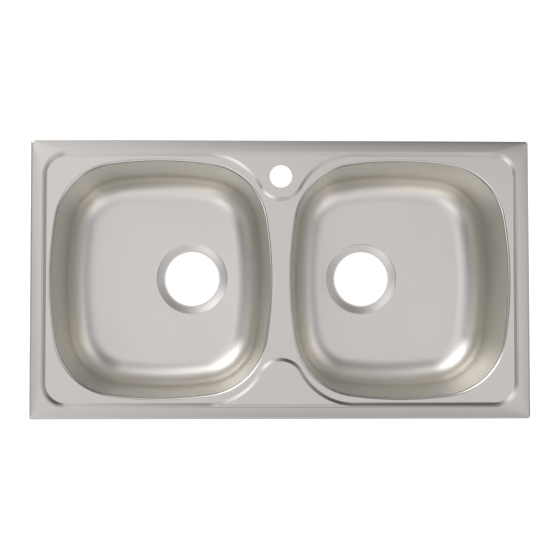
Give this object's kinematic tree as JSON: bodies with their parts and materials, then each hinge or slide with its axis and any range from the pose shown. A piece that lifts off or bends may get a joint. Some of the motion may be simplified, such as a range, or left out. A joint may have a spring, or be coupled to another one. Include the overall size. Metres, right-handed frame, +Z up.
{
  "type": "double bowl kitchen sink",
  "caption": "Inset stainless kitchen sink with two deep-drawn bowls side by side, a raised rear tap ledge with a tap hole, round waste recesses and pivoting fixing clips.",
  "frame": {"origin": "under the middle of the sink, level with the undersides of the two waste seats it stands on", "axes": "+X to the right along the long side, +Y to the rear where the tap ledge is, +Z up out of the bowls"},
  "size_m": [0.78, 0.435, 0.1605],
  "materials": {
    "deck_steel": "fine satin, pressed sheet",
    "bowl_steel": "satin, deep-drawn",
    "seal_foam": "closed-cell foam",
    "sound_pad": "matt bitumen",
    "clip_zinc": "zinc plated"
  },
  "bodies": {
    "sink": {"deck": "deck_steel", "bowl_left": "bowl_steel", "bowl_right": "bowl_steel", "gasket_front": "seal_foam", "gasket_rear": "seal_foam", "gasket_left": "seal_foam", "gasket_right": "seal_foam", "sound_pad_left": "sound_pad", "sound_pad_right": "sound_pad", "clip_bracket_1": "clip_zinc", "clip_rivet_1": "clip_zinc", "clip_bracket_2": "clip_zinc", "clip_rivet_2": "clip_zinc", "clip_bracket_3": "clip_zinc", "clip_rivet_3": "clip_zinc", "clip_bracket_4": "clip_zinc", "clip_rivet_4": "clip_zinc", "clip_bracket_5": "clip_zinc", "clip_rivet_5": "clip_zinc", "clip_bracket_6": "clip_zinc", "clip_rivet_6": "clip_zinc", "clip_bracket_7": "clip_zinc", "clip_rivet_7": "clip_zinc", "clip_bracket_8": "clip_zinc", "clip_rivet_8": "clip_zinc"},
    "claw_1": {"clip_claw_1": "clip_zinc"},
    "screw_1": {"clip_screw_1": "clip_zinc"},
    "claw_2": {"clip_claw_2": "clip_zinc"},
    "screw_2": {"clip_screw_2": "clip_zinc"},
    "claw_3": {"clip_claw_3": "clip_zinc"},
    "screw_3": {"clip_screw_3": "clip_zinc"},
    "claw_4": {"clip_claw_4": "clip_zinc"},
    "screw_4": {"clip_screw_4": "clip_zinc"},
    "claw_5": {"clip_claw_5": "clip_zinc"},
    "screw_5": {"clip_screw_5": "clip_zinc"},
    "claw_6": {"clip_claw_6": "clip_zinc"},
    "screw_6": {"clip_screw_6": "clip_zinc"},
    "claw_7": {"clip_claw_7": "clip_zinc"},
    "screw_7": {"clip_screw_7": "clip_zinc"},
    "claw_8": {"clip_claw_8": "clip_zinc"},
    "screw_8": {"clip_screw_8": "clip_zinc"}
  },
  "joints": [
    {"name": "claw_1_pivot", "type": "hinge", "parent": "sink", "child": "claw_1", "pos_m": [0.357, -0.157, 0.149], "axis": [0, -1, 0], "range_deg": [0, 28]},
    {"name": "screw_1_travel", "type": "slide", "parent": "claw_1", "child": "screw_1", "axis": [0.2419, 0, 0.9703], "range_m": [0, 0.0046]},
    {"name": "claw_2_pivot", "type": "hinge", "parent": "sink", "child": "claw_2", "pos_m": [0.357, 0.157, 0.149], "axis": [0, -1, 0], "range_deg": [0, 28]},
    {"name": "screw_2_travel", "type": "slide", "parent": "claw_2", "child": "screw_2", "axis": [0.2419, 0, 0.9703], "range_m": [0, 0.0046]},
    {"name": "claw_3_pivot", "type": "hinge", "parent": "sink", "child": "claw_3", "pos_m": [0.042, 0.192, 0.1512], "axis": [1, 0, 0], "range_deg": [0, 28]},
    {"name": "screw_3_travel", "type": "slide", "parent": "claw_3", "child": "screw_3", "axis": [0, 0.2419, 0.9703], "range_m": [0, 0.0046]},
    {"name": "claw_4_pivot", "type": "hinge", "parent": "sink", "child": "claw_4", "pos_m": [-0.042, 0.192, 0.1512], "axis": [1, 0, 0], "range_deg": [0, 28]},
    {"name": "screw_4_travel", "type": "slide", "parent": "claw_4", "child": "screw_4", "axis": [0, 0.2419, 0.9703], "range_m": [0, 0.0046]},
    {"name": "claw_5_pivot", "type": "hinge", "parent": "sink", "child": "claw_5", "pos_m": [-0.357, 0.157, 0.149], "axis": [0, 1, 0], "range_deg": [0, 28]},
    {"name": "screw_5_travel", "type": "slide", "parent": "claw_5", "child": "screw_5", "axis": [-0.2419, 0, 0.9703], "range_m": [0, 0.0046]},
    {"name": "claw_6_pivot", "type": "hinge", "parent": "sink", "child": "claw_6", "pos_m": [-0.357, -0.157, 0.149], "axis": [0, 1, 0], "range_deg": [0, 28]},
    {"name": "screw_6_travel", "type": "slide", "parent": "claw_6", "child": "screw_6", "axis": [-0.2419, 0, 0.9703], "range_m": [0, 0.0046]},
    {"name": "claw_7_pivot", "type": "hinge", "parent": "sink", "child": "claw_7", "pos_m": [-0.042, -0.192, 0.1512], "axis": [-1, 0, 0], "range_deg": [0, 28]},
    {"name": "screw_7_travel", "type": "slide", "parent": "claw_7", "child": "screw_7", "axis": [0, -0.2419, 0.9703], "range_m": [0, 0.0046]},
    {"name": "claw_8_pivot", "type": "hinge", "parent": "sink", "child": "claw_8", "pos_m": [0.042, -0.192, 0.1512], "axis": [-1, 0, 0], "range_deg": [0, 28]},
    {"name": "screw_8_travel", "type": "slide", "parent": "claw_8", "child": "screw_8", "axis": [0, -0.2419, 0.9703], "range_m": [0, 0.0046]}
  ],
  "couplings": [
    {"joint": "screw_1_travel", "follows": "claw_1_pivot", "m_per_rad": 0.0091835},
    {"joint": "screw_2_travel", "follows": "claw_2_pivot", "m_per_rad": 0.0091835},
    {"joint": "screw_3_travel", "follows": "claw_3_pivot", "m_per_rad": 0.0091835},
    {"joint": "screw_4_travel", "follows": "claw_4_pivot", "m_per_rad": 0.0091835},
    {"joint": "screw_5_travel", "follows": "claw_5_pivot", "m_per_rad": 0.0091835},
    {"joint": "screw_6_travel", "follows": "claw_6_pivot", "m_per_rad": 0.0091835},
    {"joint": "screw_7_travel", "follows": "claw_7_pivot", "m_per_rad": 0.0091835},
    {"joint": "screw_8_travel", "follows": "claw_8_pivot", "m_per_rad": 0.0091835}
  ]
}
